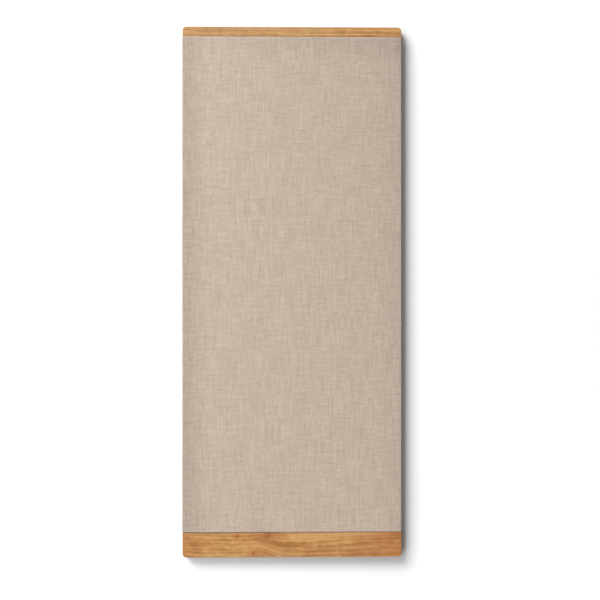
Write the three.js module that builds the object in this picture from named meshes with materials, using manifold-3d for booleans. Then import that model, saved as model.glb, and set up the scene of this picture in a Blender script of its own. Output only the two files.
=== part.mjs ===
// A tall wall pinboard: linen stretched over a soft fibre board on a lapped pine frame,
// between a slim oak rail at the top and a deeper one at the bottom, hung on two keyhole plates.
// Sizes are in millimetres. The finished group has x to the right, y into the wall and z up.
import * as THREE from 'three';
import { mergeVertices } from 'three/addons/utils/BufferGeometryUtils.js';
import Module from 'manifold-3d';

const wasm = await Module();
wasm.setup();

// Overall size of the board
const BOARD_WIDTH = 414;
const BOARD_HEIGHT = 1000;

// Clearances: between faces laid against each other, and round a dowel or a screw in its hole
const FIT_GAP = 0.2;
const BORE_GAP = 0.3;

// Oak rails
const TOP_RAIL_HEIGHT = 18;
const BOTTOM_RAIL_HEIGHT = 46;
const RAIL_CORNER_RADIUS = 7;
const RAIL_EDGE_ROUND = 0.8;
const RAIL_INNER_EASE = 0.6;
const RAIL_SETBACK = 0.5;

// Linen cover and the flap that it turns onto the back of the frame
const LINEN_THICKNESS = 0.7;
const FLAP_WIDTH = 22;
const MITRE_SLIT = 0.8;

// Soft fibre board that takes the pins, and the rounding of the core that the linen bends over
const PIN_BOARD_THICKNESS = 8;
const CORE_EDGE_ROUND = 0.9;
const CORE_CORNER_EASE = 0.6;

// Pine frame
const BAR_THICKNESS = 15;
const STILE_WIDTH = 40;
const MIDDLE_BAR_HEIGHT = 40;

// Hardboard back, let into a rebate in the frame
const BACK_BOARD_THICKNESS = 3;
const BACK_BOARD_CORNER = 4;
const BACK_BOARD_CLEARANCE = 0.5;
const REBATE_WIDTH = 10;

// Dowels between the frame and the rails
const DOWEL_DIAMETER = 6;
const DOWEL_LENGTH = 32;
const DOWEL_IN_RAIL = 12;
const DOWEL_CHAMFER = 0.8;
const DOWEL_FROM_STILE = 14;

// Screws that pull the rails onto the frame
const RAIL_SCREW_LENGTH = 45;
const RAIL_SCREW_SHANK = 3.5;
const RAIL_SCREW_HEAD = 7;
const RAIL_SCREW_GRIP = 30;
const RAIL_SCREW_COUNTERBORE = 10;
const RAIL_SCREW_FROM_STILE = 95;

// Keyhole hanger plates, sunk into the top crossbar over a pocket for the wall screw's head
const HANGER_LENGTH = 60;
const HANGER_HEIGHT = 25;
const HANGER_THICKNESS = 1.5;
const HANGER_CORNER = 4;
const HANGER_MARGIN = 6.5;
const HANGER_FROM_STILE = 50;
const KEYHOLE_ENTRY = 9;
const KEYHOLE_SLOT = 4.5;
const KEYHOLE_RISE = 8;
const POCKET_MARGIN = 2.5;
const POCKET_DEPTH = 8;
const HANGER_SCREW_LENGTH = 10;
const HANGER_SCREW_SHANK = 3.5;
const HANGER_SCREW_HEAD = 6.6;
const HANGER_SCREW_INSET = 8;

// Screws round the hardboard back
const BACK_SCREW_LENGTH = 10;
const BACK_SCREW_SHANK = 3;
const BACK_SCREW_HEAD = 5.6;
const BACK_SCREW_INSET = 60;
const BACK_SCREWS_PER_SIDE = 4;

// Features that every screw shares
const SCREW_POINT = 3.5;
const SCREW_RIM = 0.3;
const DRIVE_SLOT = 0.9;
const DRIVE_DEPTH = 1.2;
const DRIVE_SPAN = 3;

// Fineness of round shapes
const ARC_SEGMENTS = 3;
const ROUND_SEGMENTS = 3;
const TURN_SEGMENTS = 12;
const KEYHOLE_SEGMENTS = 6;
const MERGE_TOLERANCE = 1e-4;
const OVERCUT = 1;

// Depths, measured from the wall towards the front
const WRAP = LINEN_THICKNESS + FIT_GAP;
const BAR_BACK = WRAP;
const LAP_PLANE = BAR_BACK + BAR_THICKNESS / 2;
const BAR_FRONT = BAR_BACK + BAR_THICKNESS;
const REBATE_FLOOR = BAR_BACK + BACK_BOARD_THICKNESS + FIT_GAP;
const FASTENER_DEPTH = (REBATE_FLOOR + BAR_FRONT) / 2;
const PIN_BOARD_BACK = BAR_FRONT + FIT_GAP;
const PIN_BOARD_FRONT = PIN_BOARD_BACK + PIN_BOARD_THICKNESS;
const BOARD_DEPTH = PIN_BOARD_FRONT + WRAP;

// Heights, measured from the line where the board hangs in its keyholes
const TOP_BAR_HEIGHT = FLAP_WIDTH - WRAP + HANGER_MARGIN + HANGER_HEIGHT + HANGER_MARGIN + REBATE_WIDTH;
const BOTTOM_BAR_HEIGHT = RAIL_SCREW_GRIP + RAIL_SCREW_COUNTERBORE;
const KEYHOLE_HEIGHT = KEYHOLE_ENTRY / 2 + KEYHOLE_RISE + KEYHOLE_SLOT / 2;
const HANGER_TOP = KEYHOLE_SLOT / 2 + (HANGER_HEIGHT - KEYHOLE_HEIGHT) / 2;
const HANGER_CENTRE = HANGER_TOP - HANGER_HEIGHT / 2;
const PANEL_TOP = HANGER_TOP + HANGER_MARGIN + FLAP_WIDTH;
const TOP_RAIL_BASE = PANEL_TOP + FIT_GAP;
const BOARD_TOP = TOP_RAIL_BASE + TOP_RAIL_HEIGHT;
const BOARD_BASE = BOARD_TOP - BOARD_HEIGHT;
const BOTTOM_RAIL_TOP = BOARD_BASE + BOTTOM_RAIL_HEIGHT;
const PANEL_BASE = BOTTOM_RAIL_TOP + FIT_GAP;
const CORE_TOP = PANEL_TOP - WRAP;
const CORE_BASE = PANEL_BASE + WRAP;
const PANEL_CENTRE = (PANEL_TOP + PANEL_BASE) / 2;
const OPENING_TOP = CORE_TOP - TOP_BAR_HEIGHT;
const OPENING_BASE = CORE_BASE + BOTTOM_BAR_HEIGHT;
const REBATE_TOP = OPENING_TOP + REBATE_WIDTH;
const REBATE_BASE = OPENING_BASE - REBATE_WIDTH;
const MIDDLE_BAR_TOP = PANEL_CENTRE + MIDDLE_BAR_HEIGHT / 2;
const MIDDLE_BAR_BASE = PANEL_CENTRE - MIDDLE_BAR_HEIGHT / 2;

// Half widths, measured from the middle of the board
const PANEL_SIDE = BOARD_WIDTH / 2;
const CORE_SIDE = PANEL_SIDE - WRAP;
const OPENING_SIDE = CORE_SIDE - STILE_WIDTH;
const REBATE_SIDE = OPENING_SIDE + REBATE_WIDTH;
const RAIL_SCREW_SIDE = OPENING_SIDE - RAIL_SCREW_FROM_STILE;

const SIDES = [{ name: 'left', sign: -1 }, { name: 'right', sign: 1 }];

// Turns for a fastener whose point faces down by itself
const DRIVEN_DOWN = new THREE.Euler(0, 0, 0);
const DRIVEN_UP = new THREE.Euler(0, 0, Math.PI);
const DRIVEN_IN = new THREE.Euler(-Math.PI / 2, 0, 0);

const oiledOak = new THREE.MeshStandardMaterial({ color: 0xbf8c58, roughness: 0.55, metalness: 0 });
const naturalLinen = new THREE.MeshStandardMaterial({ color: 0xc5b4a3, roughness: 0.95, metalness: 0 });
const softFibre = new THREE.MeshStandardMaterial({ color: 0xa98a63, roughness: 1, metalness: 0 });
const planedPine = new THREE.MeshStandardMaterial({ color: 0xd9b888, roughness: 0.7, metalness: 0 });
const brownHardboard = new THREE.MeshStandardMaterial({ color: 0x7a573a, roughness: 0.75, metalness: 0 });
const paleBeech = new THREE.MeshStandardMaterial({ color: 0xd2ab7c, roughness: 0.7, metalness: 0 });
const zincSteel = new THREE.MeshStandardMaterial({ color: 0xb9bcc0, roughness: 0.35, metalness: 1 });

// A closed three.js geometry as a solid that can be cut. Triangles that collapse on an axis are left out.
function toSolid(geometry) {
  const bare = geometry.clone();
  bare.deleteAttribute('normal');
  bare.deleteAttribute('uv');
  const merged = mergeVertices(bare, MERGE_TOLERANCE);
  const corners = merged.index.array;
  const kept = [];
  for (let i = 0; i < corners.length; i += 3) {
    const [a, b, c] = corners.slice(i, i + 3);
    if (a !== b && b !== c && c !== a) {
      kept.push(a, b, c);
    }
  }
  const mesh = new wasm.Mesh({
    numProp: 3,
    vertProperties: new Float32Array(merged.getAttribute('position').array),
    triVerts: new Uint32Array(kept),
  });
  return new wasm.Manifold(mesh);
}

function toGeometry(solid) {
  const mesh = solid.getMesh();
  const geometry = new THREE.BufferGeometry();
  geometry.setAttribute('position', new THREE.BufferAttribute(mesh.vertProperties, 3));
  geometry.setIndex(new THREE.BufferAttribute(mesh.triVerts, 1));
  geometry.computeVertexNormals();
  return geometry;
}

function cut(solid, cutters) {
  return cutters.reduce((left, cutter) => left.subtract(cutter), solid);
}

function named(name, solid, material) {
  const mesh = new THREE.Mesh(toGeometry(solid), material);
  mesh.name = name;
  return mesh;
}

// A box between two limits on each axis.
function block([left, right], [base, top], [back, front]) {
  const box = new THREE.BoxGeometry(right - left, top - base, front - back);
  return toSolid(box.translate((left + right) / 2, (base + top) / 2, (back + front) / 2));
}

// An upright rectangle about its own centre, with a radius for its upper and for its lower corners.
function roundedRectangle(width, height, upperRadius, lowerRadius) {
  const side = width / 2;
  const top = height / 2;
  const shape = new THREE.Shape();
  shape.moveTo(side, -top + lowerRadius);
  shape.lineTo(side, top - upperRadius);
  shape.absarc(side - upperRadius, top - upperRadius, upperRadius, 0, Math.PI / 2);
  shape.absarc(-side + upperRadius, top - upperRadius, upperRadius, Math.PI / 2, Math.PI);
  shape.absarc(-side + lowerRadius, -top + lowerRadius, lowerRadius, Math.PI, 1.5 * Math.PI);
  shape.absarc(side - lowerRadius, -top + lowerRadius, lowerRadius, 1.5 * Math.PI, 2 * Math.PI);
  return shape;
}

// A shape given depth from back to front, with its front and back edges rounded over.
function roundedSlab(shape, depth, edgeRound) {
  const slab = new THREE.ExtrudeGeometry(shape, {
    depth: depth - 2 * edgeRound,
    bevelSize: edgeRound,
    bevelThickness: edgeRound,
    bevelOffset: -edgeRound,
    bevelSegments: ROUND_SEGMENTS,
    curveSegments: ARC_SEGMENTS,
  });
  return slab.translate(0, 0, edgeRound);
}

// A shape given depth with square edges.
function plainSlab(shape, depth, curveSegments = ARC_SEGMENTS) {
  return new THREE.ExtrudeGeometry(shape, { depth, curveSegments, bevelEnabled: false });
}

// The block that the linen is stretched over, grown evenly by a margin: pin board and frame together.
function coreEnvelope(margin) {
  const edgeRound = CORE_EDGE_ROUND + margin;
  const cornerRadius = edgeRound + CORE_CORNER_EASE;
  const width = 2 * (CORE_SIDE + margin);
  const height = CORE_TOP - CORE_BASE + 2 * margin;
  const depth = PIN_BOARD_FRONT - BAR_BACK + 2 * margin;
  const outline = roundedRectangle(width, height, cornerRadius, cornerRadius);
  return toSolid(roundedSlab(outline, depth, edgeRound).translate(0, PANEL_CENTRE, BAR_BACK - margin));
}

// A fastener's outline is turned about its own axis, with the head at zero and the point below.
function turned(outline) {
  return new THREE.LatheGeometry(outline.map(([x, y]) => new THREE.Vector2(x, y)), TURN_SEGMENTS);
}

function screwBody({ length, shank, head }, gap, runout) {
  const shankRadius = shank / 2 + gap;
  const headRadius = head / 2 + gap;
  const coneEnd = -SCREW_RIM - (head - shank) / 2;
  return turned([
    [0, -length - gap],
    [shankRadius, SCREW_POINT - length],
    [shankRadius, coneEnd],
    [headRadius, -SCREW_RIM],
    [headRadius, runout],
    [0, runout],
  ]);
}

// A countersunk wood screw with a crossed driver recess.
function screw(size) {
  const recess = [-DRIVE_DEPTH, OVERCUT];
  const slot = [-DRIVE_SLOT / 2, DRIVE_SLOT / 2];
  const span = [-DRIVE_SPAN / 2, DRIVE_SPAN / 2];
  return cut(toSolid(screwBody(size, 0, 0)), [block(span, recess, slot), block(slot, recess, span)]);
}

// The hole that a screw needs, with room above the head for the given runout.
function screwHole(spot, size, runout) {
  return toSolid(put(screwBody(size, BORE_GAP, runout), spot));
}

function put(geometry, { at, turn }) {
  const rotation = new THREE.Quaternion().setFromEuler(turn);
  return geometry.applyMatrix4(new THREE.Matrix4().compose(at, rotation, new THREE.Vector3(1, 1, 1)));
}

function placed(name, solid, material, { at, turn }) {
  const mesh = named(name, solid, material);
  mesh.position.copy(at);
  mesh.rotation.copy(turn);
  return mesh;
}

// Dowels: two in each rail, glued across the joint between frame and rail
function dowelBody(gap) {
  const radius = DOWEL_DIAMETER / 2 + gap;
  return turned([
    [0, -DOWEL_LENGTH - gap],
    [radius - DOWEL_CHAMFER, -DOWEL_LENGTH - gap],
    [radius, DOWEL_CHAMFER - DOWEL_LENGTH],
    [radius, -DOWEL_CHAMFER],
    [radius - DOWEL_CHAMFER, gap],
    [0, gap],
  ]);
}

function dowelSpots(top) {
  return SIDES.map(({ name, sign }) => ({
    name,
    at: new THREE.Vector3(sign * (OPENING_SIDE - DOWEL_FROM_STILE), top, FASTENER_DEPTH),
    turn: DRIVEN_DOWN,
  }));
}

const topDowels = dowelSpots(TOP_RAIL_BASE + DOWEL_IN_RAIL);
const bottomDowels = dowelSpots(BOTTOM_RAIL_TOP - DOWEL_IN_RAIL + DOWEL_LENGTH);
const dowelHoles = [...topDowels, ...bottomDowels].map((spot) => toSolid(put(dowelBody(BORE_GAP), spot)));

// Rail screws: three in each rail, driven from inside the frame with their heads sunk in a counterbore
const railScrew = { length: RAIL_SCREW_LENGTH, shank: RAIL_SCREW_SHANK, head: RAIL_SCREW_HEAD };
const railScrewPlaces = [['left', -RAIL_SCREW_SIDE], ['centre', 0], ['right', RAIL_SCREW_SIDE]];

function railScrewSpots(headHeight, turn) {
  return railScrewPlaces.map(([name, x]) => ({
    name,
    at: new THREE.Vector3(x, headHeight, FASTENER_DEPTH),
    turn,
  }));
}

const topRailScrews = railScrewSpots(CORE_TOP - RAIL_SCREW_GRIP, DRIVEN_UP);
const bottomRailScrews = railScrewSpots(CORE_BASE + RAIL_SCREW_GRIP, DRIVEN_DOWN);
const topCounterbore = TOP_BAR_HEIGHT - RAIL_SCREW_GRIP + OVERCUT;
const bottomCounterbore = RAIL_SCREW_COUNTERBORE + OVERCUT;
const railScrewHoles = [
  ...topRailScrews.map((spot) => screwHole(spot, railScrew, topCounterbore)),
  ...bottomRailScrews.map((spot) => screwHole(spot, railScrew, bottomCounterbore)),
];
const railJointHoles = [...dowelHoles, ...railScrewHoles];

// Rails: solid oak with rounded outer corners, set back a hair from the linen at their front and ends
function rail(height, upperRadius, lowerRadius, base) {
  const outline = roundedRectangle(BOARD_WIDTH - 2 * RAIL_SETBACK, height, upperRadius, lowerRadius);
  const depth = BOARD_DEPTH - RAIL_SETBACK;
  const body = roundedSlab(outline, depth, RAIL_EDGE_ROUND).translate(0, base + height / 2, 0);
  return cut(toSolid(body), railJointHoles);
}

function rails() {
  const innerRadius = RAIL_EDGE_ROUND + RAIL_INNER_EASE;
  const top = rail(TOP_RAIL_HEIGHT, RAIL_CORNER_RADIUS, innerRadius, TOP_RAIL_BASE);
  const bottom = rail(BOTTOM_RAIL_HEIGHT, innerRadius, RAIL_CORNER_RADIUS, BOARD_BASE);
  return new THREE.Group().add(named('top_rail', top, oiledOak), named('bottom_rail', bottom, oiledOak));
}

// Linen: one cloth over the front and all four edges, with its flaps turned onto the back of the frame.
// The flaps meet in a mitre at each corner, open from the inner edge out to where the cloth bends.
function mitreSlit(across, up) {
  const length = (FLAP_WIDTH - CORE_EDGE_ROUND - WRAP) * Math.SQRT2;
  const slit = new THREE.BoxGeometry(length, MITRE_SLIT, BAR_BACK + OVERCUT);
  slit.translate(length / 2, 0, (BAR_BACK - OVERCUT) / 2);
  slit.rotateZ(Math.atan2(up, across));
  return toSolid(slit.translate(across * (PANEL_SIDE - FLAP_WIDTH), flapCorner(up), 0));
}

function linenCover() {
  const windowSide = PANEL_SIDE - FLAP_WIDTH;
  const windowHeights = [flapCorner(-1), flapCorner(1)];
  const backWindow = block([-windowSide, windowSide], windowHeights, [-OVERCUT, BAR_BACK]);
  const slits = [mitreSlit(-1, -1), mitreSlit(1, -1), mitreSlit(1, 1), mitreSlit(-1, 1)];
  const cuts = [coreEnvelope(FIT_GAP), backWindow, ...slits, ...railJointHoles];
  return named('linen_cover', cut(coreEnvelope(WRAP), cuts), naturalLinen);
}

// Height of the flaps' inner edge at the top or the bottom of the panel.
function flapCorner(up) {
  return PANEL_CENTRE + up * ((PANEL_TOP - PANEL_BASE) / 2 - FLAP_WIDTH);
}

// Pin board: the front of the core, with the rounded edges that the linen bends over
function pinBoard() {
  const behind = block(
    [-PANEL_SIDE, PANEL_SIDE],
    [PANEL_BASE, PANEL_TOP],
    [-OVERCUT, PIN_BOARD_BACK],
  );
  return named('pin_board', cut(coreEnvelope(0), [behind]), softFibre);
}

// Hangers: one keyhole plate towards each end of the top crossbar, with two screws each
const hangerScrew = { length: HANGER_SCREW_LENGTH, shank: HANGER_SCREW_SHANK, head: HANGER_SCREW_HEAD };
const hangers = SIDES.map(({ name, sign }) => {
  const middle = sign * (OPENING_SIDE - HANGER_FROM_STILE);
  const reach = HANGER_LENGTH / 2 - HANGER_SCREW_INSET;
  const screwSpots = [['outer', sign * reach], ['inner', -sign * reach]].map(([end, shift]) => ({
    name: end,
    at: new THREE.Vector3(middle + shift, HANGER_CENTRE, BAR_BACK),
    turn: DRIVEN_IN,
  }));
  return { name, at: new THREE.Vector3(middle, 0, BAR_BACK), turn: DRIVEN_DOWN, screwSpots };
});

// A round entry hole with a slot rising from it, about the point where the wall screw comes to rest.
function keyhole() {
  const entryRadius = KEYHOLE_ENTRY / 2;
  const slotRadius = KEYHOLE_SLOT / 2;
  const meeting = Math.asin(slotRadius / entryRadius);
  const shape = new THREE.Shape();
  shape.absarc(0, 0, slotRadius, 0, Math.PI);
  shape.absarc(0, -KEYHOLE_RISE, entryRadius, Math.PI / 2 + meeting, 2.5 * Math.PI - meeting);
  return shape;
}

function hangerOutline(margin) {
  const cornerRadius = HANGER_CORNER + margin;
  const width = HANGER_LENGTH + 2 * margin;
  const height = HANGER_HEIGHT + 2 * margin;
  return roundedRectangle(width, height, cornerRadius, cornerRadius);
}

function hangerPlate(hanger) {
  const plate = plainSlab(hangerOutline(0), HANGER_THICKNESS).translate(0, HANGER_CENTRE, 0);
  const punchDepth = HANGER_THICKNESS + 2 * OVERCUT;
  const punch = plainSlab(keyhole(), punchDepth, KEYHOLE_SEGMENTS).translate(0, 0, -OVERCUT);
  const holes = hanger.screwSpots.map(({ at, turn }) => {
    const onPlate = { at: at.clone().sub(hanger.at), turn };
    return screwHole(onPlate, hangerScrew, OVERCUT);
  });
  return cut(toSolid(plate), [toSolid(punch), ...holes]);
}

// The routed seat of a hanger plate and, behind the keyhole, the deeper pocket for the screw head.
function hangerSeat(hanger) {
  const seatDepth = HANGER_THICKNESS + FIT_GAP;
  const pocketRadius = KEYHOLE_ENTRY / 2 + POCKET_MARGIN;
  const pocketHeight = KEYHOLE_RISE + 2 * pocketRadius;
  const pocketOutline = roundedRectangle(2 * pocketRadius, pocketHeight, pocketRadius, pocketRadius);
  const seat = plainSlab(hangerOutline(BORE_GAP), seatDepth + OVERCUT);
  const pocket = plainSlab(pocketOutline, seatDepth + POCKET_DEPTH + OVERCUT);
  return [
    toSolid(put(seat.translate(0, HANGER_CENTRE, -OVERCUT), hanger)),
    toSolid(put(pocket.translate(0, -KEYHOLE_RISE / 2, -OVERCUT), hanger)),
  ];
}

const hangerScrewHoles = hangers.flatMap((hanger) =>
  hanger.screwSpots.map((spot) => screwHole(spot, hangerScrew, OVERCUT)));

// Back screws: along both sides of the hardboard, and between the rail screws at its ends
const backScrew = { length: BACK_SCREW_LENGTH, shank: BACK_SCREW_SHANK, head: BACK_SCREW_HEAD };

function backScrewSpots() {
  const inRebate = REBATE_WIDTH / 2;
  const lowest = REBATE_BASE + BACK_SCREW_INSET;
  const pitch = (REBATE_TOP - BACK_SCREW_INSET - lowest) / (BACK_SCREWS_PER_SIDE - 1);
  const spots = [];
  for (const { name, sign } of SIDES) {
    for (let i = 0; i < BACK_SCREWS_PER_SIDE; i += 1) {
      spots.push([`${name}_${i + 1}`, sign * (OPENING_SIDE + inRebate), lowest + i * pitch]);
    }
    spots.push([`top_${name}`, sign * RAIL_SCREW_SIDE / 2, OPENING_TOP + inRebate]);
    spots.push([`bottom_${name}`, sign * RAIL_SCREW_SIDE / 2, OPENING_BASE - inRebate]);
  }
  return spots.map(([name, x, y]) => ({ name, at: new THREE.Vector3(x, y, BAR_BACK), turn: DRIVEN_IN }));
}

const backScrews = backScrewSpots();
const backScrewHoles = backScrews.map((spot) => screwHole(spot, backScrew, OVERCUT));

// Frame: stiles and crossbars half-lapped at the corners, with a rebate round the opening at the back
const backHalf = [BAR_BACK - OVERCUT, LAP_PLANE + FIT_GAP / 2];
const frontHalf = [LAP_PLANE - FIT_GAP / 2, BAR_FRONT + OVERCUT];
const fullDepth = [BAR_BACK, BAR_FRONT];

function rebate() {
  return block([-REBATE_SIDE, REBATE_SIDE], [REBATE_BASE, REBATE_TOP], [BAR_BACK - OVERCUT, REBATE_FLOOR]);
}

// A bar of the frame, trimmed to the rounded core, with all cuts that cross it.
function bar(blank, cuts) {
  return cut(blank.intersect(coreEnvelope(0)), cuts);
}

function stile({ name, sign }) {
  const across = [sign * OPENING_SIDE, sign * CORE_SIDE].sort((a, b) => a - b);
  const through = [across[0] - OVERCUT, across[1] + OVERCUT];
  const blank = block(across, [CORE_BASE, CORE_TOP], fullDepth);
  const topLap = block(through, [OPENING_TOP - FIT_GAP, CORE_TOP + OVERCUT], backHalf);
  const bottomLap = block(through, [CORE_BASE - OVERCUT, OPENING_BASE + FIT_GAP], backHalf);
  const middleLap = block(through, [MIDDLE_BAR_BASE - FIT_GAP, MIDDLE_BAR_TOP + FIT_GAP], frontHalf);
  const solid = bar(blank, [topLap, bottomLap, middleLap, rebate(), ...backScrewHoles]);
  return named(`${name}_stile`, solid, planedPine);
}

// The lap cuts at both ends of a crossbar, which take away one half of its depth.
function endLaps(heights, depths) {
  const inner = OPENING_SIDE - FIT_GAP;
  const outer = CORE_SIDE + OVERCUT;
  return [block([-outer, -inner], heights, depths), block([inner, outer], heights, depths)];
}

function crossbar(name, heights, extraCuts) {
  const blank = block([-CORE_SIDE, CORE_SIDE], heights, fullDepth);
  const laps = endLaps([heights[0] - OVERCUT, heights[1] + OVERCUT], frontHalf);
  const solid = bar(blank, [...laps, rebate(), ...railJointHoles, ...backScrewHoles, ...extraCuts]);
  return named(`${name}_crossbar`, solid, planedPine);
}

// The middle bar is let into the stiles from the front, and lies below the back board.
function middleCrossbar() {
  const heights = [MIDDLE_BAR_BASE, MIDDLE_BAR_TOP];
  const blank = block([-CORE_SIDE, CORE_SIDE], heights, [REBATE_FLOOR, BAR_FRONT]);
  const laps = endLaps([MIDDLE_BAR_BASE - OVERCUT, MIDDLE_BAR_TOP + OVERCUT], backHalf);
  return named('middle_crossbar', bar(blank, laps), planedPine);
}

function frame() {
  const hangerCuts = [...hangers.flatMap(hangerSeat), ...hangerScrewHoles];
  return new THREE.Group().add(
    ...SIDES.map(stile),
    crossbar('top', [OPENING_TOP, CORE_TOP], hangerCuts),
    middleCrossbar(),
    crossbar('bottom', [CORE_BASE, OPENING_BASE], []),
  );
}

// Back board: thin hardboard that drops into the rebate, flush with the back of the frame
function backBoard() {
  const width = 2 * (REBATE_SIDE - BACK_BOARD_CLEARANCE);
  const height = REBATE_TOP - REBATE_BASE - 2 * BACK_BOARD_CLEARANCE;
  const outline = roundedRectangle(width, height, BACK_BOARD_CORNER, BACK_BOARD_CORNER);
  const middle = (REBATE_TOP + REBATE_BASE) / 2;
  const sheet = plainSlab(outline, BACK_BOARD_THICKNESS).translate(0, middle, BAR_BACK);
  return named('back_board', cut(toSolid(sheet), backScrewHoles), brownHardboard);
}

function dowels() {
  const dowel = toSolid(dowelBody(0));
  return new THREE.Group().add(
    ...topDowels.map((spot) => placed(`top_dowel_${spot.name}`, dowel, paleBeech, spot)),
    ...bottomDowels.map((spot) => placed(`bottom_dowel_${spot.name}`, dowel, paleBeech, spot)),
  );
}

function railScrews() {
  const body = screw(railScrew);
  return new THREE.Group().add(
    ...topRailScrews.map((spot) => placed(`top_rail_screw_${spot.name}`, body, zincSteel, spot)),
    ...bottomRailScrews.map((spot) => placed(`bottom_rail_screw_${spot.name}`, body, zincSteel, spot)),
  );
}

function hangerSets() {
  const body = screw(hangerScrew);
  return new THREE.Group().add(...hangers.flatMap((hanger) => [
    placed(`${hanger.name}_hanger_plate`, hangerPlate(hanger), zincSteel, hanger),
    ...hanger.screwSpots.map((spot) =>
      placed(`${hanger.name}_hanger_screw_${spot.name}`, body, zincSteel, spot)),
  ]));
}

function backScrewSet() {
  const body = screw(backScrew);
  return new THREE.Group().add(
    ...backScrews.map((spot) => placed(`back_screw_${spot.name}`, body, zincSteel, spot)),
  );
}

// The pieces above are drawn as the board is seen on its wall: x right, y up, z out towards the front.
const onWall = new THREE.Group();
onWall.rotation.x = Math.PI / 2;
onWall.add(rails(), linenCover(), pinBoard(), frame(), backBoard());
onWall.add(dowels(), railScrews(), hangerSets(), backScrewSet());

const pinboard = new THREE.Group();
pinboard.add(onWall);

export default pinboard;
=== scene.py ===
# A tall wall pinboard: linen stretched over soft fibre board on a pine frame, between two oak rails.
# Sizes are in metres, in the frame of the solids: x to the right, y into the wall and z up.
import math
from collections import namedtuple

import bmesh
import bpy
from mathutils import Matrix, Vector
from mathutils.noise import noise as smooth_noise


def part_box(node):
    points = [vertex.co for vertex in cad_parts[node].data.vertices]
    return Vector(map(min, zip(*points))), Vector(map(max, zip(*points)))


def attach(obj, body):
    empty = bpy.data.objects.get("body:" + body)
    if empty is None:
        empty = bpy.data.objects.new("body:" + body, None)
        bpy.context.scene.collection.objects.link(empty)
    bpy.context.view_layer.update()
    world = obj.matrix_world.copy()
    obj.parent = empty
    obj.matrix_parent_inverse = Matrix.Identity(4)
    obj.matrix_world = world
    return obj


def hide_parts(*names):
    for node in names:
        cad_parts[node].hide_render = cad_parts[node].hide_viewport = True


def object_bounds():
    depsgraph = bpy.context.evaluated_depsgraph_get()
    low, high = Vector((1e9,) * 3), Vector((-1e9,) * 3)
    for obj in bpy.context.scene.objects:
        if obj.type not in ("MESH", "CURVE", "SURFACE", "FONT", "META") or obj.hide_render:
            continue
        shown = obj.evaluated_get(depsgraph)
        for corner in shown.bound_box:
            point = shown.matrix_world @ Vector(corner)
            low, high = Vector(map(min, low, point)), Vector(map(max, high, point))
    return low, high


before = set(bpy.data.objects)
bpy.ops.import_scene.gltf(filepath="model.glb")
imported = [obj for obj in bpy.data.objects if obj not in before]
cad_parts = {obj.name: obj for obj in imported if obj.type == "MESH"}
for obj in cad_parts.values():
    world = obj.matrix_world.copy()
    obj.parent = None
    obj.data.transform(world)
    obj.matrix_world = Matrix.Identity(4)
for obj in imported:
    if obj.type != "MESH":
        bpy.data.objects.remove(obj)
solids_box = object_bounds()


# Pine frame: two stiles and three crossbars of planed softwood, half-lapped and glued where they cross.
# Most of it is covered, and a strip of it shows at the back between the linen's flap and the back
# board. A pattern in the wood has so many blotches to a metre: along the grain, across it and into it.
MM = 0.001
PINE_PALE = (0.72, 0.50, 0.26)
PINE_LATE = (0.50, 0.27, 0.10)
PINE_RING = 3.4 * MM
PINE_HEART = (30 * MM, 60 * MM)
PINE_WANDER = 9 * MM
PINE_WANDERS = (5, 18, 18)
PINE_FIBRES = (40, 2000, 2000)
PINE_SHADES = (9, 60, 60)
PINE_RELIEF = 0.06 * MM
STILES = ("left_stile", "right_stile")
CROSSBARS = ("top_crossbar", "middle_crossbar", "bottom_crossbar")


class Field:
    """A number that nodes work out at every point, so that a pattern can be written as arithmetic."""

    def __init__(self, socket):
        self.socket = socket
        self.tree = socket.id_data

    def work(self, operation, *others):
        step = self.tree.nodes.new("ShaderNodeMath")
        step.operation = operation
        for socket, value in zip(step.inputs, (self, *others)):
            plug(socket, value)
        return Field(step.outputs[0])

    def __add__(self, other):
        return self.work("ADD", other)

    def __sub__(self, other):
        return self.work("SUBTRACT", other)

    def __mul__(self, other):
        return self.work("MULTIPLY", other)

    def __truediv__(self, other):
        return self.work("DIVIDE", other)

    __radd__ = __add__
    __rmul__ = __mul__


def plug(socket, value):
    """Links a field or an output into an input, or writes a plain value or colour there."""
    if isinstance(value, Field):
        value = value.socket
    if isinstance(value, bpy.types.NodeSocket):
        socket.id_data.links.new(value, socket)
    elif socket.type == "RGBA":
        socket.default_value = (*value, 1.0)
    else:
        socket.default_value = value


def node(tree, kind, inputs=None, **settings):
    """A node with its settings made and its inputs linked or filled in."""
    made = tree.nodes.new(kind)
    for name, value in settings.items():
        setattr(made, name, value)
    for name, value in (inputs or {}).items():
        plug(made.inputs[name], value)
    return made


def at(tree, x, y, z):
    """A place made of three fields or numbers."""
    return node(tree, "ShaderNodeCombineXYZ", {"X": x, "Y": y, "Z": z}).outputs[0]


def blotches(place, detail=2.0, roughness=0.5):
    """Soft random blotches about zero, each about one unit across."""
    inputs = {"Vector": place, "Scale": 1.0, "Detail": detail, "Roughness": roughness}
    return Field(node(place.id_data, "ShaderNodeTexNoise", inputs).outputs["Fac"]) - 0.5


def ease(value, low, high):
    """Goes smoothly from 0 to 1 while the value goes from low to high."""
    inputs = {"Value": value, "From Min": low, "From Max": high}
    made = node(value.tree, "ShaderNodeMapRange", inputs, interpolation_type="SMOOTHSTEP")
    return Field(made.outputs["Result"])


def mixed(share, first, second):
    """The first colour where the share is 0, turning into the second where it is 1."""
    made = node(share.tree, "ShaderNodeMix", {0: share}, data_type="RGBA")
    colours = [socket for socket in made.inputs if socket.type == "RGBA"]
    plug(colours[0], first)
    plug(colours[1], second)
    return next(socket for socket in made.outputs if socket.type == "RGBA")


def toned(colour, factor):
    """A colour made lighter or darker by a field."""
    inputs = {"Vector": colour, "Scale": factor}
    return node(factor.tree, "ShaderNodeVectorMath", inputs, operation="SCALE").outputs["Vector"]


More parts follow.
